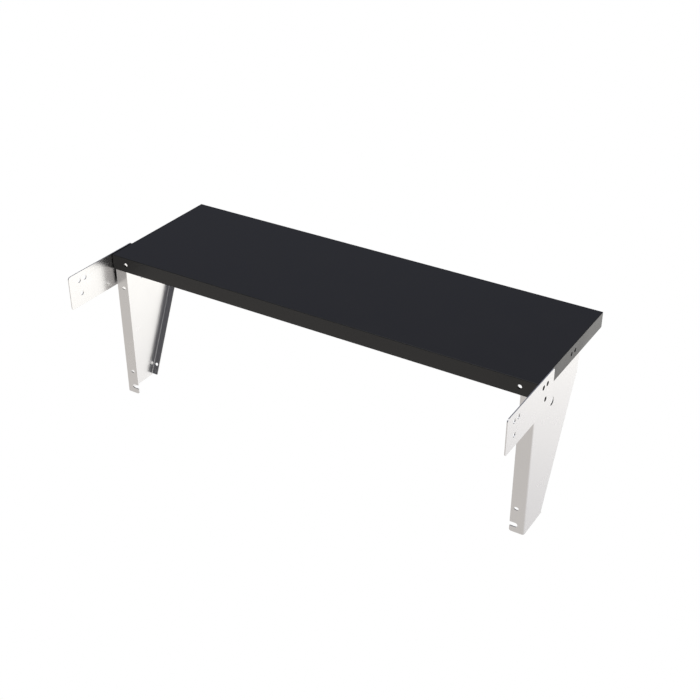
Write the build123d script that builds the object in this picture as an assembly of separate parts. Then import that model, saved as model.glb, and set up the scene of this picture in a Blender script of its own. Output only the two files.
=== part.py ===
from build123d import *
import os

# Wall shelf with a folded tray, two folded brackets and two ear plates.
# Millimetres. X runs along the shelf, +Y points away from the wall, +Z is up.
# The origin lies on the face that meets the wall, at mid-length, on the line of the wall bolts.

# Sheet and bends
SHEET = 1.5
INNER_BEND = 1.5
OUTER_BEND = SHEET + INNER_BEND

# Shelf tray
SHELF_LENGTH = 700.0
SHELF_DEPTH = 220.0
SKIRT_HEIGHT = 24.0
SHELF_TOP = SKIRT_HEIGHT / 2
EDGE_RADIUS = 1.0
WALL_HOLE_X = 325.0
WALL_HOLE_RADIUS = 3.2
SKIRT_HOLE_RADIUS = 3.0

# Holes along the ends, measured from the wall face
HOLE_PITCH = 12.5
FRONT_PAIR_Y = 13.5
PAIR_SPACING = 96.0

# Ear plates, held a little off the tray's ends by thin washers
EAR_GAP = 0.8
EAR_LENGTH = 141.0
EAR_FRONT = -94.5
EAR_TOP = SHELF_TOP + 1.0
EAR_HEIGHT = 54.0
EAR_CORNER = 4.0
EAR_HOLE_RADIUS = 3.5
EAR_PAIR_OFFSETS = (37.5, 50.0)
EAR_LOWER_OFFSET = 47.0
EAR_LOWER_DROP = 22.0

# Brackets
BRACKET_OUTER = SHELF_LENGTH / 2 - SHEET
TOP_CLEARANCE = 2.0
BRACKET_TOP = SHELF_TOP - SHEET - TOP_CLEARANCE
BRACKET_BOTTOM = SHELF_TOP - 244.4
WALL_FLANGE_WIDTH = 22.0
HEAD_TAB_WIDTH = 34.0
HEAD_TAB_BOTTOM = -9.0
PLATE_BOTTOM_DEPTH = 60.0
PLATE_TOP_DEPTH = 143.2
PLATE_SHOULDER = SHELF_TOP - 60.0
SLOPE_FLANGE_WIDTH = 12.0
SLOPE_FLANGE_LIFT = 1.5
SLOPE_HOLE_RADIUS = 2.65
SLOPE_HOLE_UP = 18.2
SLOPE_HOLE_IN = (SHEET + SLOPE_FLANGE_WIDTH) / 2
FLANGE_CORNER = 3.0
SLOT_X = 334.6
SLOT_LENGTH = 7.0
SLOT_WIDTH = 5.0
UPPER_SLOT = SHELF_TOP - 54.4
LOWER_SLOT = SHELF_TOP - 204.4
HOOK_SLOT = SHELF_TOP - 232.2
HOOK_WIDTH = 7.0
HOOK_END_X = 338.3
ACCESS_HOLE_Y = 57.6
ACCESS_HOLE_Z = SHELF_TOP - 57.8
ACCESS_HOLE_RADIUS = 6.1

# Clinch nuts and spacer washers
THREAD_RADIUS = 2.5
NUT_SHANK_RADIUS = 3.175
NUT_SHANK_LENGTH = 1.4
NUT_BODY_RADIUS = 4.35
NUT_BODY_LENGTH = 5.5
NUT_END_WALL = 1.0
NUT_CHAMFER = 0.5
NUT_LEAD_IN = 0.5
WASHER_RADIUS = 6.0

EAR_MIDDLE = EAR_FRONT + EAR_LENGTH / 2
EAR_INNER = SHELF_LENGTH / 2 + EAR_GAP
WALL_FLANGE_FACE = SHEET
CUT = 20.0

# Where the screws pass, as (y, z): two pairs in the tray's end skirt and one hole below it.
PAIR_POINTS = []
for pair_y in (FRONT_PAIR_Y, FRONT_PAIR_Y + PAIR_SPACING):
    PAIR_POINTS.append((pair_y, 0.0))
    PAIR_POINTS.append((pair_y + HOLE_PITCH, 0.0))
LOWER_POINT = (EAR_MIDDLE + EAR_LOWER_OFFSET, -EAR_LOWER_DROP)


def solid_box(x_range, y_range, z_range):
    """A box between two limits on each axis."""
    size = [high - low for low, high in (x_range, y_range, z_range)]
    middle = [(low + high) / 2 for low, high in (x_range, y_range, z_range)]
    return Pos(*middle) * Box(*size)


def rod_x(radius, x_low, x_high, y, z):
    """A round bar along X."""
    turned = Pos((x_low + x_high) / 2, y, z) * Rot(0, 90, 0)
    return turned * Cylinder(radius, x_high - x_low)


def rod_y(radius, x, z, y_low, y_high):
    """A round bar along Y."""
    turned = Pos(x, (y_low + y_high) / 2, z) * Rot(90, 0, 0)
    return turned * Cylinder(radius, y_high - y_low)


def shelf_pan():
    """Tray with a flat top and a skirt folded down on all four sides, open below."""
    half = SHELF_LENGTH / 2
    outside = solid_box((-half, half), (0, SHELF_DEPTH), (-SHELF_TOP, SHELF_TOP))
    outside = fillet(outside.edges().filter_by(Axis.Z), EDGE_RADIUS)
    outside = fillet(outside.faces().sort_by(Axis.Z)[-1].edges(), EDGE_RADIUS)
    inside = solid_box(
        (SHEET - half, half - SHEET),
        (SHEET, SHELF_DEPTH - SHEET),
        (-SHELF_TOP - CUT, SHELF_TOP - SHEET),
    )
    pan = outside - inside
    for x in (-WALL_HOLE_X, WALL_HOLE_X):
        pan -= rod_y(WALL_HOLE_RADIUS, x, 0, -CUT, CUT)
    for y, z in PAIR_POINTS:
        pan -= rod_x(SKIRT_HOLE_RADIUS, -half - CUT, half + CUT, y, z)
    return pan


def ear_plate():
    """Flat plate outside the right end, reaching past the wall face; the same from both ends."""
    middle_z = EAR_TOP - EAR_HEIGHT / 2
    outline = Plane.YZ.offset(EAR_INNER) * Pos(EAR_MIDDLE, middle_z)
    plate = extrude(outline * RectangleRounded(EAR_LENGTH, EAR_HEIGHT, EAR_CORNER), SHEET)
    for side in (-1, 1):
        points = [(EAR_MIDDLE + side * offset, 0.0) for offset in EAR_PAIR_OFFSETS]
        points.append((EAR_MIDDLE + side * EAR_LOWER_OFFSET, -EAR_LOWER_DROP))
        for y, z in points:
            plate -= rod_x(EAR_HOLE_RADIUS, EAR_INNER - CUT, EAR_INNER + CUT, y, z)
    return plate


def slope_direction():
    """Unit vector up the sloping rear edge of a bracket, in Y and Z."""
    rise = Vector(0, PLATE_TOP_DEPTH - PLATE_BOTTOM_DEPTH, PLATE_SHOULDER - BRACKET_BOTTOM)
    return rise.normalized()


def folded_strip(start, along, width, length):
    """L-shaped run of sheet: width turned inwards and a short leg in the side plate."""
    leg = 2 * OUTER_BEND
    corners = [(0, 0), (width, 0), (width, SHEET), (SHEET, SHEET), (SHEET, leg), (0, leg)]
    section = make_face(Polyline(*corners, close=True))
    section = fillet(section.vertices().sort_by_distance((0, 0))[0], OUTER_BEND)
    section = fillet(section.vertices().sort_by_distance((SHEET, SHEET))[0], INNER_BEND)
    across = Plane(origin=start, x_dir=(-1, 0, 0), z_dir=along)
    return extrude(across * section, length)


def side_plate():
    """Upright plate of the right bracket, up to the start of each bend and whole below the strip."""
    up = slope_direction()
    bend_y = OUTER_BEND / up.Z
    lift_y = PLATE_BOTTOM_DEPTH + SLOPE_FLANGE_LIFT * up.Y / up.Z
    lift_z = BRACKET_BOTTOM + SLOPE_FLANGE_LIFT
    corners = [
        (WALL_FLANGE_FACE + OUTER_BEND, BRACKET_BOTTOM),
        (PLATE_BOTTOM_DEPTH, BRACKET_BOTTOM),
        (lift_y, lift_z),
        (lift_y - bend_y, lift_z),
        (PLATE_TOP_DEPTH - bend_y, PLATE_SHOULDER),
        (PLATE_TOP_DEPTH, PLATE_SHOULDER),
        (PLATE_TOP_DEPTH, BRACKET_TOP),
        (WALL_FLANGE_FACE + OUTER_BEND, BRACKET_TOP),
    ]
    face = Plane.YZ.offset(BRACKET_OUTER - SHEET) * make_face(Polyline(*corners, close=True))
    return extrude(face, SHEET)


def wall_flange():
    """Upright strip that lies against the wall side, with a wider tab behind the skirt."""
    top = Vector(BRACKET_OUTER, WALL_FLANGE_FACE, BRACKET_TOP)
    strip = folded_strip(top, (0, 0, -1), WALL_FLANGE_WIDTH, BRACKET_TOP - BRACKET_BOTTOM)
    tab = solid_box(
        (BRACKET_OUTER - HEAD_TAB_WIDTH, BRACKET_OUTER - OUTER_BEND),
        (WALL_FLANGE_FACE, WALL_FLANGE_FACE + SHEET),
        (HEAD_TAB_BOTTOM, BRACKET_TOP),
    )
    return strip + tab


def slope_flange():
    """Stiffening strip turned inwards along the sloping edge, trimmed level at both ends.

    It stops a little above the foot, where the side plate alone runs on.
    """
    up = slope_direction()
    start = Vector(BRACKET_OUTER, PLATE_BOTTOM_DEPTH, BRACKET_BOTTOM) - up * CUT
    length = (PLATE_SHOULDER - BRACKET_BOTTOM) / up.Z + 2 * CUT
    strip = folded_strip(start, up, SLOPE_FLANGE_WIDTH, length)
    level = (BRACKET_BOTTOM + SLOPE_FLANGE_LIFT, PLATE_SHOULDER)
    return strip & solid_box((0, BRACKET_OUTER), (0, SHELF_DEPTH), level)


def slot_cut(x, z, length):
    """Cutter for a round-ended level slot through the wall flange."""
    outline = Plane.XZ * Pos(x, z) * SlotOverall(length, SLOT_WIDTH)
    return extrude(outline, CUT, both=True)


def hook_cut():
    """Cutter for the open slot near the foot, which hooks over a screw from the side."""
    centre_x = HOOK_END_X - HOOK_WIDTH / 2
    mouth = solid_box(
        (BRACKET_OUTER - WALL_FLANGE_WIDTH - CUT, centre_x),
        (-CUT, CUT),
        (HOOK_SLOT - HOOK_WIDTH / 2, HOOK_SLOT + HOOK_WIDTH / 2),
    )
    return mouth + rod_y(HOOK_WIDTH / 2, centre_x, HOOK_SLOT, -CUT, CUT)


def bracket_holes(bracket):
    """Cut the nut holes, the access hole, the slots and the hole in the sloping strip."""
    x_low, x_high = BRACKET_OUTER - SHEET - 1, BRACKET_OUTER + 1
    for y, z in PAIR_POINTS + [LOWER_POINT]:
        bracket -= rod_x(NUT_SHANK_RADIUS, x_low, x_high, y, z)
    bracket -= rod_x(ACCESS_HOLE_RADIUS, x_low, x_high, ACCESS_HOLE_Y, ACCESS_HOLE_Z)
    for z in (UPPER_SLOT, LOWER_SLOT):
        bracket -= slot_cut(SLOT_X, z, SLOT_LENGTH)
    bracket -= hook_cut()
    bracket -= rod_y(WALL_HOLE_RADIUS, WALL_HOLE_X, 0, -CUT, CUT)
    up = slope_direction()
    place = Vector(BRACKET_OUTER - SLOPE_HOLE_IN, PLATE_BOTTOM_DEPTH, BRACKET_BOTTOM)
    square_on = Plane(origin=place + up * SLOPE_HOLE_UP, z_dir=Vector(0, -up.Z, up.Y))
    return bracket - square_on * Cylinder(SLOPE_HOLE_RADIUS, 4 * SHEET)


def round_foot(bracket):
    """Round the free lower corner of the wall flange."""
    free_edge = BRACKET_OUTER - WALL_FLANGE_WIDTH
    corner = [
        edge for edge in bracket.edges().filter_by(Axis.Y)
        if abs(edge.center().X - free_edge) < 0.01
        and abs(edge.center().Z - BRACKET_BOTTOM) < 0.01
    ]
    return fillet(corner, FLANGE_CORNER)


def right_bracket():
    """Folded bracket at the right end: side plate, wall flange and sloping strip."""
    folded = side_plate() + wall_flange() + slope_flange()
    return bracket_holes(round_foot(folded))


def clinch_nut(y, z):
    """Closed-end round nut pressed into the side plate from inside, its thread open to the outside."""
    seat = BRACKET_OUTER - SHEET
    body = rod_x(NUT_BODY_RADIUS, seat - NUT_BODY_LENGTH, seat, y, z)
    body = chamfer(body.faces().sort_by(Axis.X)[0].edges(), NUT_CHAMFER)
    mouth = seat + NUT_SHANK_LENGTH
    nut = body + rod_x(NUT_SHANK_RADIUS, seat, mouth, y, z)
    nut -= rod_x(THREAD_RADIUS, seat - NUT_BODY_LENGTH + NUT_END_WALL, mouth, y, z)
    return chamfer(nut.faces().sort_by(Axis.X)[-1].edges().sort_by(SortBy.RADIUS)[0], NUT_LEAD_IN)


def spacer_washer(seat, y, z):
    """Washer that fills the gap between an ear plate and what is behind it."""
    ring = rod_x(WASHER_RADIUS, seat, EAR_INNER, y, z)
    return ring - rod_x(EAR_HOLE_RADIUS, seat - CUT, EAR_INNER + CUT, y, z)


def both_sides(right_solids):
    """The right-hand solids and their mirror images, as one group."""
    left_solids = [mirror(solid, about=Plane.YZ) for solid in right_solids]
    return Compound(children=list(right_solids) + left_solids)


bracket = right_bracket()
ear = ear_plate()
nuts = [clinch_nut(y, z) for y, z in PAIR_POINTS + [LOWER_POINT]]
washers = [spacer_washer(SHELF_LENGTH / 2, y, z) for y, z in PAIR_POINTS[:2]]
washers.append(spacer_washer(BRACKET_OUTER, *LOWER_POINT))
nodes = {
    "shelf_pan": shelf_pan(),
    "left_bracket": mirror(bracket, about=Plane.YZ),
    "right_bracket": bracket,
    "left_ear_plate": mirror(ear, about=Plane.YZ),
    "right_ear_plate": ear,
    "clinch_nuts": both_sides(nuts),
    "spacer_washers": both_sides(washers),
}

os.makedirs("parts", exist_ok=True)
for name, shape in nodes.items():
    export_step(shape, f"parts/{name}.step")
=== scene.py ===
import math

import bmesh
import bpy
from bpy.props import FloatProperty, FloatVectorProperty, PointerProperty
from mathutils import Matrix, Vector
from mathutils.geometry import delaunay_2d_cdt


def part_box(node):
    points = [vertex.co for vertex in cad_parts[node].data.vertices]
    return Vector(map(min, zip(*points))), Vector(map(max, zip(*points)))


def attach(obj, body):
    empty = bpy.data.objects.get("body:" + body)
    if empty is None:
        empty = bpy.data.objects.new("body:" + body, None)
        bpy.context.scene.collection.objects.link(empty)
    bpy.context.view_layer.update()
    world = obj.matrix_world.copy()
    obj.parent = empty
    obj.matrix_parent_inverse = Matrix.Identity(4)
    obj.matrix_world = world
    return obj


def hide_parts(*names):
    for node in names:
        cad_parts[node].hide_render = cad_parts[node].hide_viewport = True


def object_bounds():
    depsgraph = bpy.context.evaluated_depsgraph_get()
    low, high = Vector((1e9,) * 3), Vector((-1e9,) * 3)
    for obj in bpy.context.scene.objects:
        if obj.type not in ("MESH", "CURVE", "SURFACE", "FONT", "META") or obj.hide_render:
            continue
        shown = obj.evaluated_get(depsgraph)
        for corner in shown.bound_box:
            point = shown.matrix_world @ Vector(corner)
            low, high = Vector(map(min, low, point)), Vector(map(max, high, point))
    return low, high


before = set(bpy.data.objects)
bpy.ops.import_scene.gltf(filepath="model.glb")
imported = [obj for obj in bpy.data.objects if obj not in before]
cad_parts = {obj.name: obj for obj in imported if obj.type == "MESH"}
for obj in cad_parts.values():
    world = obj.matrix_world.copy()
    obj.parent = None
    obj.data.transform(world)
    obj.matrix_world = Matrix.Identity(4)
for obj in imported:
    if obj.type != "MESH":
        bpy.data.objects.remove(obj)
CAD_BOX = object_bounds()

bl_info = {
    "name": "Wall Shelf with Brackets",
    "version": (1, 0, 0),
    "blender": (4, 5, 0),
    "location": "View3D > Sidebar > Wall Shelf",
    "description": "Coated shelf tray on two folded steel brackets, with an ear plate at each end",
    "category": "Object",
}

# Everything below is in metres, in the frame's own axes: X along the shelf, +Y away from the wall,
# +Z up. Pieces that come in pairs are shaped on the right, and the left ones are their mirror images.
BODY = "root"
SIDES = {"right": 1, "left": -1}
QUARTER_TURN = math.pi / 2
TRAY_LOW, TRAY_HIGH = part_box("shelf_pan")
BRACKET_LOW, BRACKET_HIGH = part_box("right_bracket")
EAR_LOW, EAR_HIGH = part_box("right_ear_plate")
NUT_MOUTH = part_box("clinch_nuts")[1].x
SHEET = EAR_HIGH.x - EAR_LOW.x
EAR_MIDDLE_Y = (EAR_LOW.y + EAR_HIGH.y) / 2
SENSOR_WIDTH_MM = 36.0
HOLE_STEPS = 48


def length(name, description, default):
    """A size in metres that the sidebar can change."""
    return FloatProperty(
        name=name, description=description, default=default, min=0.0, unit="LENGTH", precision=5,
    )


def share(name, description, default):
    """A plain number from nothing to one."""
    return FloatProperty(
        name=name, description=description, default=default, min=0.0, max=1.0, subtype="FACTOR",
    )


def tint(name, description, default):
    """A colour."""
    return FloatVectorProperty(
        name=name, description=description, default=default, min=0.0, max=1.0, subtype="COLOR",
    )


# ---------------------------------------------------------------- sizes and finishes


class ShelfStageSettings(bpy.types.PropertyGroup):
    """Camera, floor and light of the studio."""

    lens: FloatProperty(
        name="Lens", description="Focal length on a 36 mm wide sensor", default=62.0, min=10.0,
        subtype="DISTANCE_CAMERA",
    )
    azimuth: FloatProperty(
        name="Azimuth", description="Turn of the camera from straight in front of the wall side",
        default=math.radians(31.574), subtype="ANGLE",
    )
    elevation: FloatProperty(
        name="Elevation", description="Angle of the camera above level", default=math.radians(30.848),
        subtype="ANGLE",
    )
    distance: length("Distance", "From the camera to the point it looks at", 1.7547)
    aim: FloatVectorProperty(
        name="Aim", description="Point the camera looks at", default=(0.0275, 0.0736, -0.0761),
        subtype="TRANSLATION", unit="LENGTH",
    )
    floor_drop: length("Floor drop", "Gap between the brackets' feet and the floor", 0.35)
    floor_reach: length("Floor reach", "Half the width of the floor", 14.0)
    floor_color: tint("Floor colour", "Plain pale floor", (1.0, 1.0, 1.0))
    overhead_power: FloatProperty(
        name="Overhead power", description="Strength of the soft light above", default=30.0, min=0.0,
        unit="POWER",
    )
    overhead_size: length("Overhead size", "Width of the soft light above", 3.0)
    overhead_height: length("Overhead height", "Height of the soft light above the tray", 3.0)


class ShelfTraySettings(bpy.types.PropertyGroup):
    """Sizes and finish of the coated tray."""

    edge_radius: length("Edge radius", "Radius of the tray's outer edges", 0.001)
    wall_hole_x: length("Wall hole place", "From mid-length to a wall bolt hole", 0.325)
    wall_hole_radius: length("Wall hole radius", "Radius of the wall bolt holes", 0.0032)
    end_hole_radius: length("End hole radius", "Radius of the holes in the end skirts", 0.003)
    coat_color: tint("Coat colour", "Colour of the black powder coat", (0.0092, 0.0091, 0.0095))
    coat_roughness: share("Coat roughness", "How matt the powder coat is", 0.36)


class ShelfBracketSettings(bpy.types.PropertyGroup):
    """Sizes and finish of the folded brackets."""

    bend_radius: length("Bend radius", "Outside radius of the folds", 0.003)
    flange_width: length("Wall flange", "Width of the flange against the wall", 0.022)
    tab_depth: length("Head tab", "Height of the wide tab's lower edge below the bolt line", 0.009)
    plate_foot: length("Foot depth", "Reach of the side plate at its foot, from the wall face", 0.06)
    shoulder_drop: length("Shoulder drop", "Where the sloping edge ends, below the bolt line", 0.048)
    strip_width: length("Sloping strip", "Width of the strip along the sloping edge", 0.012)
    strip_lift: length("Strip lift", "How far the strip ends above the foot", 0.0015)
    strip_hole_up: length("Strip hole place", "From the foot to the strip's hole, on the slope", 0.0182)
    strip_hole_radius: length("Strip hole radius", "Radius of the hole in the strip", 0.00265)
    relief: length("Bend relief", "Width of the slit at each end of the sloping fold", 0.0008)
    slot_x: length("Slot place", "From mid-length to the middle of a slot", 0.3346)
    slot_length: length("Slot length", "Length of the two closed slots", 0.007)
    slot_width: length("Slot width", "Width of the two closed slots", 0.005)
    upper_slot_drop: length("Upper slot", "Below the bolt line", 0.0424)
    lower_slot_drop: length("Lower slot", "Below the bolt line", 0.1924)
    hook_drop: length("Hook slot", "Open slot near the foot, below the bolt line", 0.2202)
    hook_width: length("Hook slot width", "Width of the open slot", 0.007)
    hook_end_x: length("Hook slot end", "From mid-length to the open slot's round end", 0.3383)
    foot_radius: length("Foot radius", "Radius of the flange's free lower corner", 0.003)
    access_y: length("Access hole depth", "From the wall face to the round access hole", 0.0576)
    access_drop: length("Access hole drop", "Access hole below the bolt line", 0.0458)
    access_radius: length("Access hole radius", "Radius of the access hole", 0.0061)
    steel_color: tint("Steel colour", "Colour of the satin stainless steel", (0.60, 0.597, 0.60))
    steel_roughness: share("Steel roughness", "How satin the steel is", 0.29)


class ShelfEarSettings(bpy.types.PropertyGroup):
    """Sizes and finish of the ear plates."""

    corner_radius: length("Corner radius", "Radius of the plate's corners", 0.004)
    hole_radius: length("Hole radius", "Radius of the six holes", 0.0035)
    near_hole: length("Near hole", "From mid-plate to the nearer hole of a pair", 0.0375)
    lower_hole: length("Lower hole", "From mid-plate to a lower hole", 0.047)
    lower_drop: length("Lower hole drop", "Lower holes below the bolt line", 0.022)
    steel_color: tint("Steel colour", "Colour of the satin stainless steel", (0.61, 0.607, 0.61))
    steel_roughness: share("Steel roughness", "How satin the steel is", 0.28)


class ShelfFixingSettings(bpy.types.PropertyGroup):
    """Sizes and finish of the clinch nuts and washers, and the places of the screws."""

    first_y: length("First screw", "From the wall face to the first screw", 0.0135)
    pitch: length("Screw pitch", "Between the two screws of a pair", 0.0125)
    pair_spacing: length("Pair spacing", "From one pair to the next", 0.096)
    thread_radius: length("Thread radius", "Radius to the root of the thread", 0.0025)
    thread_pitch: length("Thread pitch", "Rise of the thread in one turn", 0.0008)
    thread_depth: length("Thread depth", "How far the thread stands in from its root", 0.0004)
    shank_radius: length("Shank radius", "Radius of the nut's neck in the side plate", 0.003175)
    body_radius: length("Body radius", "Radius of the nut's body", 0.00435)
    body_length: length("Body length", "Length of the nut's body inside the bracket", 0.0055)
    end_wall: length("End wall", "Thickness of the nut's closed end", 0.001)
    chamfer: length("Chamfer", "Slant on the nut's edges", 0.0005)
    washer_radius: length("Washer radius", "Outer radius of the washers", 0.006)
    nut_color: tint("Nut colour", "Colour of the dull plated steel", (0.42, 0.41, 0.40))
    washer_color: tint("Washer colour", "Colour of the black nylon", (0.018, 0.018, 0.018))


# ---------------------------------------------------------------- outlines and folding


def ring(center, radius):
    """Points round a circle."""
    turns = (2 * math.pi * step / HOLE_STEPS for step in range(HOLE_STEPS))
    return [Vector(center) + radius * Vector((math.cos(turn), math.sin(turn))) for turn in turns]


def rounded(corners, steps=8):
    """Outline through (u, v, radius) corners, each turned into an arc of its radius."""
    closest = 1e-6
    outline = []
    for index, (u, v, radius) in enumerate(corners):
        here = Vector((u, v))
        if not radius:
            outline.append(here)
            continue
        before = (Vector(corners[index - 1][:2]) - here).normalized()
        after = (Vector(corners[(index + 1) % len(corners)][:2]) - here).normalized()
        half = before.angle(after) / 2
        middle = here + (before + after).normalized() * radius / math.sin(half)
        start = here + before * radius / math.tan(half) - middle
        end = here + after * radius / math.tan(half) - middle
        turn = math.atan2(start.x * end.y - start.y * end.x, start.dot(end))
        for step in range(steps + 1):
            angle = turn * step / steps
            across = Vector((-start.y, start.x))
            outline.append(middle + start * math.cos(angle) + across * math.sin(angle))
    gaps = ((point - outline[index - 1]).length for index, point in enumerate(outline))
    return [point for point, gap in zip(outline, gaps) if gap > closest]


def slot_outline(middle, across, up):
    """Round-ended slot of that length and width."""
    u, v = middle
    corners = ((-1, -1), (1, -1), (1, 1), (-1, 1))
    return rounded([(u + right * across / 2, v + high * up / 2, up / 2) for right, high in corners])


def within(point, loop):
    """Whether a point lies inside a closed outline."""
    crossings = 0
    for index, end in enumerate(loop):
        start = loop[index - 1]
        if (start.y > point.y) != (end.y > point.y):
            part = (point.y - start.y) / (end.y - start.y)
            crossings += start.x + (end.x - start.x) * part > point.x
    return crossings % 2 == 1


def filled(loops, scores=()):
    """Flat sheet inside the first loop and outside the others, split along the scores."""
    points, edges = [], []
    for loop in loops:
        first = len(points)
        points += loop
        edges += [(first + step, first + (step + 1) % len(loop)) for step in range(len(loop))]
    for start, end in scores:
        edges.append((len(points), len(points) + 1))
        points += [start, end]
    finest = 1e-7
    corners, _, faces, *_ = delaunay_2d_cdt(points, edges, [], 0, finest)
    flat = bmesh.new()
    verts = [flat.verts.new(corner.to_3d()) for corner in corners]
    outline, *holes = loops
    for face in faces:
        middle = sum((corners[index] for index in face), Vector((0, 0))) / len(face)
        if within(middle, outline) and not any(within(middle, hole) for hole in holes):
            flat.faces.new([verts[index] for index in face])
    bmesh.ops.delete(flat, geom=[vert for vert in flat.verts if not vert.link_faces], context="VERTS")
    return flat


def bent(distance, radius):
    """How far on and how far inwards a point lies, by its distance into a square bend of the sheet."""
    if distance <= 0:
        return distance, 0.0
    turn = min(distance / radius, QUARTER_TURN)
    straight = max(distance - radius * QUARTER_TURN, 0.0)
    return radius * math.sin(turn), radius * (1 - math.cos(turn)) + straight


def unfolded(inward, radius):
    """Length along the sheet from the start of a square bend to a point this far inwards."""
    return radius * QUARTER_TURN + inward - radius


# ---------------------------------------------------------------- from mesh to finished piece


def as_object(name, build):
    """Turn a bmesh into an object in the scene."""
    mesh = bpy.data.meshes.new(name)
    build.to_mesh(mesh)
    build.free()
    piece = bpy.data.objects.new(name, mesh)
    bpy.context.scene.collection.objects.link(piece)
    return piece


def settle(piece):
    """Apply the piece's modifiers."""
    graph = bpy.context.evaluated_depsgraph_get()
    mesh = bpy.data.meshes.new_from_object(
        piece.evaluated_get(graph), preserve_all_data_layers=True, depsgraph=graph
    )
    old = piece.data
    piece.modifiers.clear()
    piece.data = mesh
    bpy.data.meshes.remove(old)


def soften(piece, width, angle):
    """Break the sharp edges as deburring does, and keep the flats flat in shading."""
    piece.data.shade_smooth()
    bevel = piece.modifiers.new("deburr", "BEVEL")
    bevel.width = width
    bevel.segments = 2
    bevel.limit_method = "ANGLE"
    bevel.angle_limit = angle
    flats = piece.modifiers.new("flats", "WEIGHTED_NORMAL")
    flats.weight = 100
    settle(piece)


def sheet_metal(name, flat):
    """Give an outer skin the sheet's thickness, on its inner side."""
    piece = as_object(name, flat)
    thick = piece.modifiers.new("sheet", "SOLIDIFY")
    thick.thickness = SHEET
    thick.offset = -1.0
    thick.use_even_offset = True
    settle(piece)
    soften(piece, width=0.00015, angle=math.radians(50))
    return piece


def hand(build, side):
    """Mirror a right-hand bmesh for the left side and keep its faces outwards."""
    if side < 0:
        bmesh.ops.scale(build, verts=build.verts, vec=(-1, 1, 1))
        bmesh.ops.reverse_faces(build, faces=build.faces)
    return build


def face_right(flat):
    """Turn an outer skin's faces to the right."""
    bmesh.ops.recalc_face_normals(flat, faces=flat.faces)
    if max(flat.faces, key=lambda face: face.calc_area() * abs(face.normal.x)).normal.x < 0:
        bmesh.ops.reverse_faces(flat, faces=flat.faces)


def fit_out(piece, material, node):
    """Dress a piece and let it stand for its node."""
    piece.data.materials.clear()
    piece.data.materials.append(material)
    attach(piece, BODY)
    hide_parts(node)


def lathe(build, matrix, profile, steps, wave=None):
    """Rings of (x, radius) spun round the X axis; a wave may change the radius as it turns."""
    rings = []
    for x, radius in profile:
        points = []
        for step in range(steps):
            turn = 2 * math.pi * step / steps
            reach = wave(x, radius, turn) if wave else radius
            point = Vector((x, reach * math.cos(turn), reach * math.sin(turn)))
            points.append(build.verts.new(matrix @ point))
        rings.append(points)
    return rings


def skin(build, rings, closed=False):
    """Join each ring to the next with faces."""
    pairs = list(zip(rings, rings[1:]))
    if closed:
        pairs.append((rings[-1], rings[0]))
    for low, high in pairs:
        for step, corner in enumerate(low):
            after = (step + 1) % len(low)
            build.faces.new((corner, low[after], high[after], high[step]))


def turned(name, build):
    """Finish a turned piece: smooth round, sharp at its edges."""
    bmesh.ops.recalc_face_normals(build, faces=build.faces)
    piece = as_object(name, build)
    piece.data.shade_smooth()
    piece.data.set_sharp_from_angle(angle=math.radians(35))
    return piece


# ---------------------------------------------------------------- materials


class Finish:
    """A node material under construction."""

    def __init__(self, name):
        self.material = bpy.data.materials.new(name)
        self.material.use_nodes = True
        self.tree = self.material.node_tree
        self.shader = self.tree.nodes["Principled BSDF"]
        self.place = self.add("ShaderNodeTexCoord").outputs["Object"]

    def add(self, kind, **settings):
        """New node with its sockets set; an underscore stands for the space in a socket's name."""
        node = self.tree.nodes.new(kind)
        for name, value in settings.items():
            node.inputs[name.replace("_", " ")].default_value = value
        return node

    def join(self, source, target):
        """Link two sockets."""
        self.tree.links.new(source, target)

    def noise(self, scale, detail, stretch=None):
        """Noise in the object's own space, stretched where the grain is long."""
        cloud = self.add("ShaderNodeTexNoise", Scale=scale, Detail=detail, Roughness=0.55)
        source = self.place
        if stretch:
            mapping = self.add("ShaderNodeMapping", Scale=stretch)
            self.join(source, mapping.inputs["Vector"])
            source = mapping.outputs["Vector"]
        self.join(source, cloud.inputs["Vector"])
        return cloud.outputs["Fac"]

    def colour(self, source, base, spread):
        """Base colour that wanders a little either side of its mean."""
        blend = self.add("ShaderNodeMixRGB")
        blend.inputs["Color1"].default_value = (*(Vector(base) * (1 - spread)), 1.0)
        blend.inputs["Color2"].default_value = (*(Vector(base) * (1 + spread)), 1.0)
        self.join(source, blend.inputs["Fac"])
        self.join(blend.outputs["Color"], self.shader.inputs["Base Color"])

    def satin(self, source, mean, spread):
        """Roughness that wanders a little either side of its mean."""
        span = self.add(
            "ShaderNodeMapRange", From_Min=0.3, From_Max=0.7, To_Min=mean - spread, To_Max=mean + spread,
        )
        self.join(source, span.inputs["Value"])
        self.join(span.outputs["Result"], self.shader.inputs["Roughness"])

    def relief(self, layers):
        """Stack bump layers of (source, strength, depth)."""
        before = None
        for source, strength, depth in layers:
            bump = self.add("ShaderNodeBump", Strength=strength, Distance=depth)
            self.join(source, bump.inputs["Height"])
            if before:
                self.join(before, bump.inputs["Normal"])
            before = bump.outputs["Normal"]
        self.join(before, self.shader.inputs["Normal"])


def powder_coat(settings):
    """Black powder coat with fine orange peel and a slightly uneven sheen."""
    made = Finish("black_powder_coat")
    made.shader.inputs["IOR"].default_value = 1.41
    cloud = made.noise(scale=16.0, detail=4.0)
    made.colour(cloud, settings.coat_color, spread=0.2)
    made.satin(cloud, settings.coat_roughness, spread=0.03)
    peel = made.noise(scale=420.0, detail=2.0)
    grit = made.noise(scale=1800.0, detail=2.0)
    made.relief([(peel, 0.10, 0.0004), (grit, 0.12, 0.0001)])
    return made.material


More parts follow.
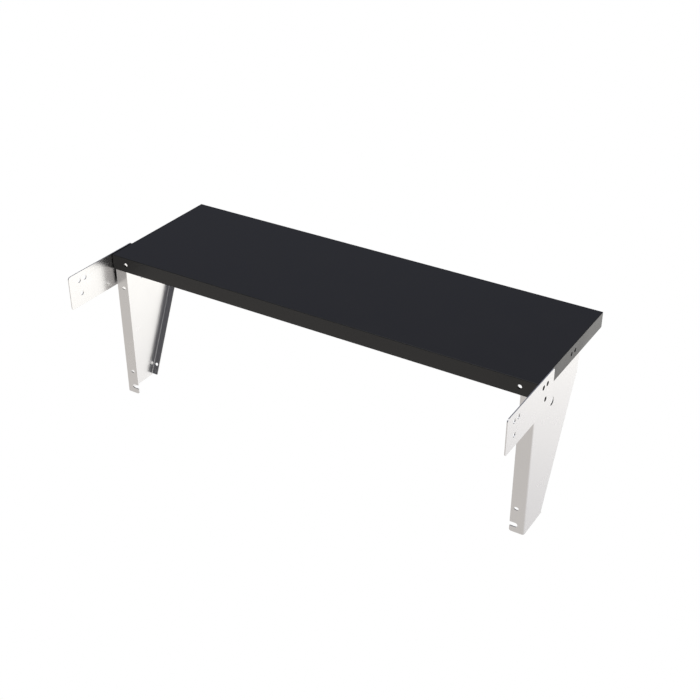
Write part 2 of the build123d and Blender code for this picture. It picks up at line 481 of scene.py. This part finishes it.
def satin_steel(name, color, roughness, grain_axis):
    """Satin stainless sheet with a rolled grain that runs along one axis."""
    made = Finish(name)
    made.shader.inputs["Metallic"].default_value = 1.0
    along, across = 18.0, 2600.0
    stretch = [along if axis == grain_axis else across for axis in range(3)]
    lines = made.noise(scale=1.0, detail=3.0, stretch=stretch)
    cloud = made.noise(scale=20.0, detail=5.0)
    made.colour(lines, color, spread=0.02)
    made.satin(cloud, roughness, spread=0.025)
    made.relief([(lines, 0.16, 0.00004), (cloud, 0.05, 0.0004)])
    return made.material


def plated_steel(settings):
    """Dull zinc-plated steel with a fine grainy bloom."""
    made = Finish("dull_nut_steel")
    made.shader.inputs["Metallic"].default_value = 1.0
    cloud = made.noise(scale=700.0, detail=4.0)
    made.colour(cloud, settings.nut_color, spread=0.12)
    made.satin(cloud, mean=0.42, spread=0.06)
    made.relief([(made.noise(scale=5200.0, detail=2.0), 0.2, 0.00003)])
    return made.material


def black_nylon(settings):
    """Moulded black nylon with a faint grain."""
    made = Finish("black_nylon")
    cloud = made.noise(scale=900.0, detail=3.0)
    made.colour(cloud, settings.washer_color, spread=0.2)
    made.satin(cloud, mean=0.5, spread=0.05)
    made.relief([(made.noise(scale=3000.0, detail=2.0), 0.25, 0.00005)])
    return made.material


def pale_floor(settings):
    """Plain pale floor, clear when looked at from below."""
    made = Finish("pale_floor")
    made.tree.nodes.remove(made.shader)
    glow = made.add("ShaderNodeEmission", Color=(*settings.floor_color, 1.0))
    clear = made.add("ShaderNodeBsdfTransparent")
    facing = made.add("ShaderNodeNewGeometry")
    either = made.add("ShaderNodeMixShader")
    made.join(facing.outputs["Backfacing"], either.inputs[0])
    made.join(glow.outputs["Emission"], either.inputs[1])
    made.join(clear.outputs["BSDF"], either.inputs[2])
    made.join(either.outputs["Shader"], made.tree.nodes["Material Output"].inputs["Surface"])
    return made.material


# ---------------------------------------------------------------- operators


class SHELF_OT_stage(bpy.types.Operator):
    """Make the camera, the floor and the light"""

    bl_idname = "shelf.stage"
    bl_label = "Stage"

    # Light from round about, as (height of the direction from -1 to 1, colour). The open side is bright
    # below, the wall side is dimmer and warmer, both are dark round the horizon, and they meet overhead.
    OVERHEAD = (
        (0.45, (0.25, 0.265, 0.34)),
        (0.62, (0.20, 0.21, 0.28)),
        (1.0, (0.75, 0.76, 0.80)),
    )
    OPEN_SIDE = (
        (-1.0, (0.60, 0.60, 0.60)),
        (-0.72, (0.74, 0.73, 0.74)),
        (-0.62, (0.975, 0.965, 0.985)),
        (-0.5, (1.55, 1.53, 1.51)),
        (-0.4, (2.13, 2.10, 1.98)),
        (-0.26, (2.25, 2.22, 2.10)),
        (-0.12, (0.80, 0.80, 0.79)),
        (0.02, (0.20, 0.20, 0.21)),
        (0.3, (0.17, 0.175, 0.21)),
        *OVERHEAD,
    )
    WALL_SIDE = (
        (-1.0, (0.80, 0.77, 0.75)),
        (-0.55, (0.91, 0.87, 0.83)),
        (-0.38, (0.90, 0.86, 0.81)),
        (-0.1, (0.35, 0.34, 0.34)),
        (0.06, (0.13, 0.135, 0.14)),
        (0.3, (0.16, 0.165, 0.20)),
        *OVERHEAD,
    )
    OPEN_SIDE_TURN = math.radians(50)

    def execute(self, context):
        settings = context.scene.shelf_stage
        self.camera(context.scene, settings)
        self.floor(settings)
        self.surroundings(context.scene)
        self.overhead(context.scene, settings)
        context.scene.view_settings.view_transform = "Standard"
        return {"FINISHED"}

    def camera(self, scene, settings):
        """Camera on a circle round the point it looks at."""
        level = math.cos(settings.elevation)
        back = Vector((
            math.sin(settings.azimuth) * level,
            -math.cos(settings.azimuth) * level,
            math.sin(settings.elevation),
        ))
        data = bpy.data.cameras.new("camera")
        data.lens = settings.lens
        data.sensor_width = SENSOR_WIDTH_MM
        camera = bpy.data.objects.new("camera", data)
        scene.collection.objects.link(camera)
        camera.location = Vector(settings.aim) + back * settings.distance
        camera.rotation_euler = (-back).to_track_quat("-Z", "Y").to_euler()
        scene.camera = camera

    def floor(self, settings):
        """Wide level sheet under the shelf that leaves the studio's light alone."""
        build = bmesh.new()
        bmesh.ops.create_grid(build, x_segments=4, y_segments=4, size=settings.floor_reach)
        bmesh.ops.translate(build, verts=build.verts, vec=(0, 0, CAD_BOX[0][2] - settings.floor_drop))
        floor = as_object("floor", build)
        floor.data.materials.append(pale_floor(settings))
        floor.visible_diffuse = False
        floor.visible_glossy = False
        floor.visible_transmission = False
        floor.visible_shadow = False

    def surroundings(self, scene):
        """Soft studio light from every direction, with a plain white backdrop behind the floor."""
        world = bpy.data.worlds.new("studio")
        world.use_nodes = True
        tree = world.node_tree
        direction = tree.nodes.new("ShaderNodeTexCoord").outputs["Generated"]
        split = tree.nodes.new("ShaderNodeSeparateXYZ")
        tree.links.new(direction, split.inputs[0])
        height = self.span(tree, split.outputs["Z"], low=-1.0, high=1.0)
        wall_side = self.ramp(tree, height, self.WALL_SIDE)
        open_side = self.ramp(tree, height, self.OPEN_SIDE)
        towards = tree.nodes.new("ShaderNodeVectorMath")
        towards.operation = "DOT_PRODUCT"
        turn = self.OPEN_SIDE_TURN
        towards.inputs[1].default_value = (math.sin(turn), math.cos(turn), 0.0)
        tree.links.new(direction, towards.inputs[0])
        openness = self.span(tree, towards.outputs["Value"], low=0.05, high=0.9)
        around = self.blend(tree, openness, wall_side, open_side)
        backdrop = tree.nodes.new("ShaderNodeRGB").outputs[0]
        backdrop.default_value = (1.0, 1.0, 1.0, 1.0)
        seen = tree.nodes.new("ShaderNodeLightPath").outputs["Is Camera Ray"]
        light = self.blend(tree, seen, around, backdrop)
        tree.links.new(light, tree.nodes["Background"].inputs["Color"])
        scene.world = world

    def span(self, tree, source, low, high):
        """Stretch a range of values to 0 to 1."""
        node = tree.nodes.new("ShaderNodeMapRange")
        node.inputs["From Min"].default_value = low
        node.inputs["From Max"].default_value = high
        tree.links.new(source, node.inputs["Value"])
        return node.outputs["Result"]

    def ramp(self, tree, height, stops):
        """Colour by height, through the given stops."""
        node = tree.nodes.new("ShaderNodeValToRGB")
        elements = node.color_ramp.elements
        while len(elements) < len(stops):
            elements.new(1.0)
        for element, (level, color) in zip(elements, stops):
            element.position = (level + 1) / 2
            element.color = (*color, 1.0)
        tree.links.new(height, node.inputs["Fac"])
        return node.outputs["Color"]

    def blend(self, tree, portion, first, second):
        """Mix of two colours, with that portion of the second."""
        node = tree.nodes.new("ShaderNodeMixRGB")
        tree.links.new(portion, node.inputs["Fac"])
        tree.links.new(first, node.inputs["Color1"])
        tree.links.new(second, node.inputs["Color2"])
        return node.outputs["Color"]

    def overhead(self, scene, settings):
        """Large soft lamp above the tray."""
        data = bpy.data.lights.new("overhead", "AREA")
        data.size = settings.overhead_size
        data.energy = settings.overhead_power
        lamp = bpy.data.objects.new("overhead", data)
        lamp.location = (0.0, (TRAY_LOW.y + TRAY_HIGH.y) / 2, settings.overhead_height)
        scene.collection.objects.link(lamp)


def screw_places(fixings):
    """(y, z) of the four screws on the bolt line, front to back."""
    firsts = (fixings.first_y, fixings.first_y + fixings.pair_spacing)
    return [(first + step * fixings.pitch, 0.0) for first in firsts for step in (0, 1)]


def lower_place(ears):
    """(y, z) of the screw below the bolt line."""
    return EAR_MIDDLE_Y + ears.lower_hole, -ears.lower_drop


class SHELF_OT_tray(bpy.types.Operator):
    """Shape the folded tray with its rounded edges and its holes"""

    bl_idname = "shelf.tray"
    bl_label = "Tray"

    def execute(self, context):
        tray, fixings = context.scene.shelf_tray, context.scene.shelf_fixings
        shell = self.block(TRAY_LOW, TRAY_HIGH)
        kept = [edge for edge in shell.edges if max(vert.co.z for vert in edge.verts) > 0]
        bmesh.ops.bevel(
            shell, geom=kept, offset=tray.edge_radius, offset_type="OFFSET", segments=6, profile=0.5,
            affect="EDGES",
        )
        piece = as_object("tray", shell)
        wall = Vector((SHEET, SHEET, SHEET))
        drop = Vector((0, 0, TRAY_HIGH.z - TRAY_LOW.z))
        self.cut(piece, as_object("hollow", self.block(TRAY_LOW + wall - drop, TRAY_HIGH - wall)))
        self.cut(piece, as_object("drills", self.drills(tray, fixings)))
        soften(piece, width=0.0002, angle=math.radians(40))
        fit_out(piece, powder_coat(tray), "shelf_pan")
        return {"FINISHED"}

    def block(self, low, high):
        """Six-sided block between two corners."""
        build = bmesh.new()
        bmesh.ops.create_cube(build, size=1.0)
        bmesh.ops.scale(build, verts=build.verts, vec=high - low)
        bmesh.ops.translate(build, verts=build.verts, vec=(low + high) / 2)
        return build

    def drills(self, tray, fixings):
        """Round bars where the screws pass through the skirts."""
        build = bmesh.new()
        for side in SIDES.values():
            self.bar(build, (side * tray.wall_hole_x, TRAY_LOW.y, 0.0), "X", tray.wall_hole_radius)
            for y, z in screw_places(fixings):
                self.bar(build, (side * TRAY_HIGH.x, y, z), "Y", tray.end_hole_radius)
        return build

    def bar(self, build, middle, axis, radius):
        """Round bar through a skirt, turned a quarter about an axis."""
        matrix = Matrix.Translation(middle) @ Matrix.Rotation(QUARTER_TURN, 4, axis)
        bmesh.ops.create_cone(
            build, cap_ends=True, segments=HOLE_STEPS, radius1=radius, radius2=radius, depth=4 * SHEET,
            matrix=matrix,
        )

    def cut(self, piece, cutter):
        """Take a cutter away from the piece."""
        boolean = piece.modifiers.new("cut", "BOOLEAN")
        boolean.operation = "DIFFERENCE"
        boolean.solver = "EXACT"
        boolean.object = cutter
        settle(piece)
        bpy.data.objects.remove(cutter)


class SHELF_OT_brackets(bpy.types.Operator):
    """Cut and fold the two brackets from flat sheet"""

    bl_idname = "shelf.brackets"
    bl_label = "Brackets"

    def execute(self, context):
        sizes = context.scene.shelf_brackets
        steel = satin_steel("bracket_steel", sizes.steel_color, sizes.steel_roughness, grain_axis=2)
        for name, side in SIDES.items():
            blank = Blank(context.scene)
            flat = filled([blank.outline(), *blank.holes(context.scene)], blank.scores())
            blank.fold(flat)
            piece = sheet_metal(f"{name}_bracket_sheet", hand(flat, side))
            fit_out(piece, steel, f"{name}_bracket")
        return {"FINISHED"}


class Blank:
    """Flat blank of the right bracket, in the side plate's own (y, z)."""

    def __init__(self, scene):
        self.sizes = scene.shelf_brackets
        self.radius = self.sizes.bend_radius
        self.wall_bend = BRACKET_LOW.y + self.radius
        self.foot = Vector((self.sizes.plate_foot, BRACKET_LOW.z))
        slope = Vector((BRACKET_HIGH.y, -self.sizes.shoulder_drop)) - self.foot
        self.up = slope.normalized()
        self.out = Vector((self.up.y, -self.up.x))
        self.strip_start = self.sizes.strip_lift / self.up.y
        self.strip_end = slope.length

    def flange_y(self, x):
        """Where a line of the wall flange lies on the flat blank."""
        return self.wall_bend - unfolded(BRACKET_HIGH.x - x, self.radius)

    def on_slope(self, along, past):
        """Point by its distance along the sloping edge and past it."""
        return self.foot + self.up * along + self.out * past

    def outline(self):
        """Edge of the blank, from the flange's foot round by the sloping strip."""
        sizes = self.sizes
        free = self.flange_y(BRACKET_HIGH.x - sizes.flange_width)
        tab = self.flange_y(BRACKET_LOW.x)
        hook = self.flange_y(sizes.hook_end_x)
        hook_low = -sizes.hook_drop - sizes.hook_width / 2
        hook_high = -sizes.hook_drop + sizes.hook_width / 2
        deep = -self.radius - sizes.relief
        reach = unfolded(sizes.strip_width, self.radius) - self.radius
        slit_high = self.on_slope(self.strip_end + sizes.relief, deep)
        shoulder = slit_high + self.out * (BRACKET_HIGH.y - slit_high.x) / self.out.x
        small = SHEET / 2
        return rounded([
            (free, BRACKET_LOW.z, sizes.foot_radius),
            (*self.foot, 0.0),
            (*self.on_slope(self.strip_start - sizes.relief, 0.0), 0.0),
            (*self.on_slope(self.strip_start - sizes.relief, deep), 0.0),
            (*self.on_slope(self.strip_start, deep), 0.0),
            (*self.on_slope(self.strip_start, reach), small),
            (*self.on_slope(self.strip_end, reach), small),
            (*self.on_slope(self.strip_end, deep), 0.0),
            (*slit_high, 0.0),
            (*shoulder, 0.0),
            (BRACKET_HIGH.y, BRACKET_HIGH.z, small),
            (tab, BRACKET_HIGH.z, small),
            (tab, -sizes.tab_depth, small),
            (free, -sizes.tab_depth, small),
            (free, hook_high, small),
            (hook, hook_high, sizes.hook_width / 2),
            (hook, hook_low, sizes.hook_width / 2),
            (free, hook_low, small),
        ])

    def holes(self, scene):
        """Every closed hole of the blank."""
        sizes, fixings, tray = self.sizes, scene.shelf_fixings, scene.shelf_tray
        screws = [*screw_places(fixings), lower_place(scene.shelf_ears)]
        loops = [ring(screw, fixings.shank_radius) for screw in screws]
        loops.append(ring((sizes.access_y, -sizes.access_drop), sizes.access_radius))
        for drop in (sizes.upper_slot_drop, sizes.lower_slot_drop):
            middle = (self.flange_y(sizes.slot_x), -drop)
            loops.append(slot_outline(middle, sizes.slot_length, sizes.slot_width))
        loops.append(ring((self.flange_y(tray.wall_hole_x), 0.0), tray.wall_hole_radius))
        past = unfolded((SHEET + sizes.strip_width) / 2, self.radius) - self.radius
        loops.append(ring(self.on_slope(sizes.strip_hole_up, past), sizes.strip_hole_radius))
        return loops

    def scores(self):
        """Lines along which the sheet bends, as pairs of ends."""
        steps = 10
        spare = 2 * self.sizes.relief
        lines = []
        for step in range(steps + 1):
            arc = QUARTER_TURN * self.radius * step / steps
            y = self.wall_bend - arc
            lines.append((Vector((y, BRACKET_LOW.z - spare)), Vector((y, BRACKET_HIGH.z + spare))))
            ends = (self.strip_start - spare, self.strip_end + spare)
            lines.append(tuple(self.on_slope(along, arc - self.radius) for along in ends))
        return lines

    def fold(self, flat):
        """Stand the blank up and fold its two bends, leaving the outer skin of the bracket."""
        hair = 1e-5
        for vert in flat.verts:
            point = vert.co.to_2d()
            along = (point - self.foot).dot(self.up)
            past = (point - self.foot).dot(self.out) + self.radius
            inward = 0.0
            if past > 0 and self.strip_start - hair <= along <= self.strip_end + hair:
                ahead, inward = bent(past, self.radius)
                point += self.out * (ahead - past)
            elif point.x < self.wall_bend:
                ahead, inward = bent(self.wall_bend - point.x, self.radius)
                point.x = self.wall_bend - ahead
            vert.co = (BRACKET_HIGH.x - inward, *point)
        face_right(flat)


class SHELF_OT_ears(bpy.types.Operator):
    """Cut the two ear plates from flat sheet"""

    bl_idname = "shelf.ears"
    bl_label = "Ear Plates"

    def execute(self, context):
        ears, fixings = context.scene.shelf_ears, context.scene.shelf_fixings
        steel = satin_steel("ear_steel", ears.steel_color, ears.steel_roughness, grain_axis=1)
        for name, side in SIDES.items():
            flat = filled([self.outline(ears), *self.holes(ears, fixings)])
            for vert in flat.verts:
                vert.co = (EAR_HIGH.x, vert.co.x, vert.co.y)
            face_right(flat)
            piece = sheet_metal(f"{name}_ear_sheet", hand(flat, side))
            fit_out(piece, steel, f"{name}_ear_plate")
        return {"FINISHED"}

    def outline(self, ears):
        """Plate with round corners."""
        low, high = EAR_LOW.yz, EAR_HIGH.yz
        corners = (low, (high.x, low.y), high, (low.x, high.y))
        return rounded([(*corner, ears.corner_radius) for corner in corners])

    def holes(self, ears, fixings):
        """The same three holes at each end: a pair on the bolt line and one below."""
        reaches = [
            (ears.near_hole, 0.0),
            (ears.near_hole + fixings.pitch, 0.0),
            (ears.lower_hole, -ears.lower_drop),
        ]
        places = [(EAR_MIDDLE_Y + end * reach, z) for end in (-1, 1) for reach, z in reaches]
        return [ring(place, ears.hole_radius) for place in places]


class SHELF_OT_nuts(bpy.types.Operator):
    """Turn the clinch nuts, each with a real thread"""

    bl_idname = "shelf.nuts"
    bl_label = "Clinch Nuts"

    def execute(self, context):
        fixings, ears = context.scene.shelf_fixings, context.scene.shelf_ears
        build = bmesh.new()
        for side in SIDES.values():
            for y, z in [*screw_places(fixings), lower_place(ears)]:
                outward = Matrix.Diagonal((side, 1, 1, 1)) @ Matrix.Translation((NUT_MOUTH, y, z))
                self.nut(build, outward, fixings)
        fit_out(turned("threaded_nuts", build), plated_steel(fixings), "clinch_nuts")
        return {"FINISHED"}

    def nut(self, build, matrix, fixings):
        """One closed-end nut; x is nothing at its mouth and falls towards its closed end."""
        neck = (BRACKET_HIGH.x - SHEET) - NUT_MOUTH
        back = neck - fixings.body_length
        deep = back + fixings.end_wall
        chamfer = fixings.chamfer
        rows_per_turn = 6
        rows = round((-chamfer - deep) / fixings.thread_pitch * rows_per_turn)
        steps = 36

        def thread(x, radius, turn):
            phase = (x / fixings.thread_pitch - turn / (2 * math.pi)) % 1.0
            return radius - fixings.thread_depth * abs(2 * phase - 1)

        levels = [deep + (-chamfer - deep) * row / rows for row in range(rows + 1)]
        bore = lathe(build, matrix, [(level, fixings.thread_radius) for level in levels], steps, thread)
        outside = lathe(build, matrix, [
            (0.0, fixings.thread_radius + chamfer),
            (0.0, fixings.shank_radius),
            (neck, fixings.shank_radius),
            (neck, fixings.body_radius),
            (back + chamfer, fixings.body_radius),
            (back, fixings.body_radius - chamfer),
        ], steps)
        skin(build, [*bore, *outside])
        build.faces.new(bore[0])
        build.faces.new(outside[-1])


class SHELF_OT_washers(bpy.types.Operator):
    """Turn the spacer washers behind the ear plates"""

    bl_idname = "shelf.washers"
    bl_label = "Spacer Washers"

    def execute(self, context):
        fixings, ears = context.scene.shelf_fixings, context.scene.shelf_ears
        build = bmesh.new()
        seats = [(TRAY_HIGH.x, *spot) for spot in screw_places(fixings)[:2]]
        seats.append((BRACKET_HIGH.x, *lower_place(ears)))
        for side in SIDES.values():
            for seat, y, z in seats:
                matrix = Matrix.Diagonal((side, 1, 1, 1)) @ Matrix.Translation((seat, y, z))
                self.washer(build, matrix, EAR_LOW.x - seat, ears.hole_radius, fixings.washer_radius)
        fit_out(turned("washer_rings", build), black_nylon(fixings), "spacer_washers")
        return {"FINISHED"}

    def washer(self, build, matrix, thickness, bore, outer):
        """Flat ring with a small slant on each edge."""
        slant = thickness / 6
        profile = [
            (slant, bore),
            (thickness - slant, bore),
            (thickness, bore + slant),
            (thickness, outer - slant),
            (thickness - slant, outer),
            (slant, outer),
            (0.0, outer - slant),
            (0.0, bore + slant),
        ]
        skin(build, lathe(build, matrix, profile, steps=64), closed=True)


class SHELF_PT_panel(bpy.types.Panel):
    """Buttons and sizes for each piece of the shelf"""

    bl_label = "Wall Shelf"
    bl_idname = "SHELF_PT_panel"
    bl_space_type = "VIEW_3D"
    bl_region_type = "UI"
    bl_category = "Wall Shelf"

    def draw(self, context):
        for operator in OPERATORS:
            self.layout.operator(operator.bl_idname)
        for name, group in SETTINGS.items():
            box = self.layout.box()
            box.label(text=group.__doc__)
            for key in group.__annotations__:
                box.prop(getattr(context.scene, name), key)


SETTINGS = {
    "shelf_stage": ShelfStageSettings,
    "shelf_tray": ShelfTraySettings,
    "shelf_brackets": ShelfBracketSettings,
    "shelf_ears": ShelfEarSettings,
    "shelf_fixings": ShelfFixingSettings,
}
OPERATORS = (
    SHELF_OT_stage,
    SHELF_OT_tray,
    SHELF_OT_brackets,
    SHELF_OT_ears,
    SHELF_OT_nuts,
    SHELF_OT_washers,
)
CLASSES = (*SETTINGS.values(), *OPERATORS, SHELF_PT_panel)


def register():
    """Make the classes and their settings known."""
    for made in CLASSES:
        bpy.utils.register_class(made)
    for name, group in SETTINGS.items():
        setattr(bpy.types.Scene, name, PointerProperty(type=group))


def unregister():
    """Take the settings and the classes away again."""
    for name in SETTINGS:
        delattr(bpy.types.Scene, name)
    for made in reversed(CLASSES):
        bpy.utils.unregister_class(made)


def main():
    """Make every piece in order."""
    register()
    bpy.ops.shelf.stage()
    bpy.ops.shelf.tray()
    bpy.ops.shelf.brackets()
    bpy.ops.shelf.ears()
    bpy.ops.shelf.nuts()
    bpy.ops.shelf.washers()


if __name__ == "__main__":
    main()
